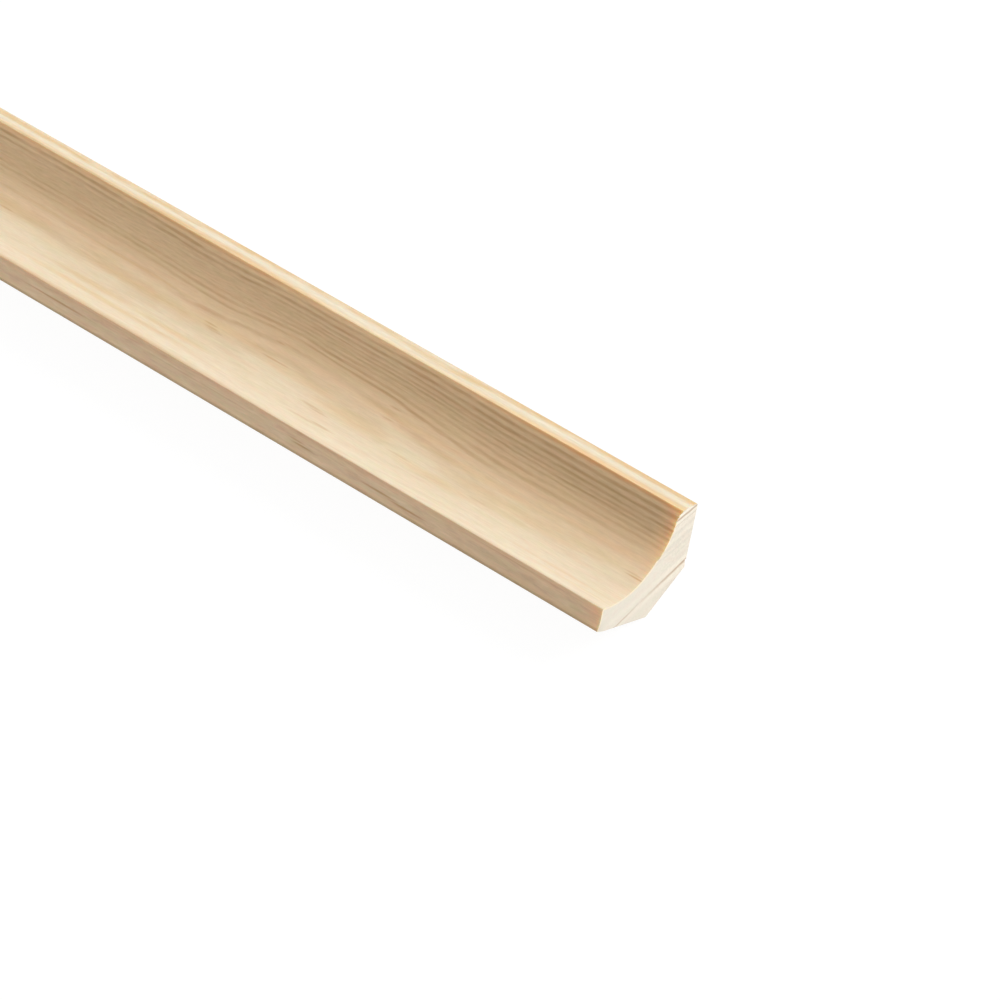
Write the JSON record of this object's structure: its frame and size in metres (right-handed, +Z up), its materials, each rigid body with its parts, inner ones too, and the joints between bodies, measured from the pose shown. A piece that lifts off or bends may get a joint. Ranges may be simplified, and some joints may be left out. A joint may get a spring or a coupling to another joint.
{
  "type": "scotia moulding",
  "caption": "Length of planed softwood scotia moulding with a quarter-circle cove between two square fillets and a chamfered back corner.",
  "frame": {"origin": "centre of the back chamfer that the moulding lies on, halfway along the length", "axes": "+X along the length, +Z up out of the cove, Y across the moulding from one fixing face to the other"},
  "size_m": [2.4, 0.0296, 0.0124],
  "materials": {
    "pine": "planed, unfinished"
  },
  "bodies": {
    "root": {"scotia_moulding": "pine"}
  },
  "joints": []
}
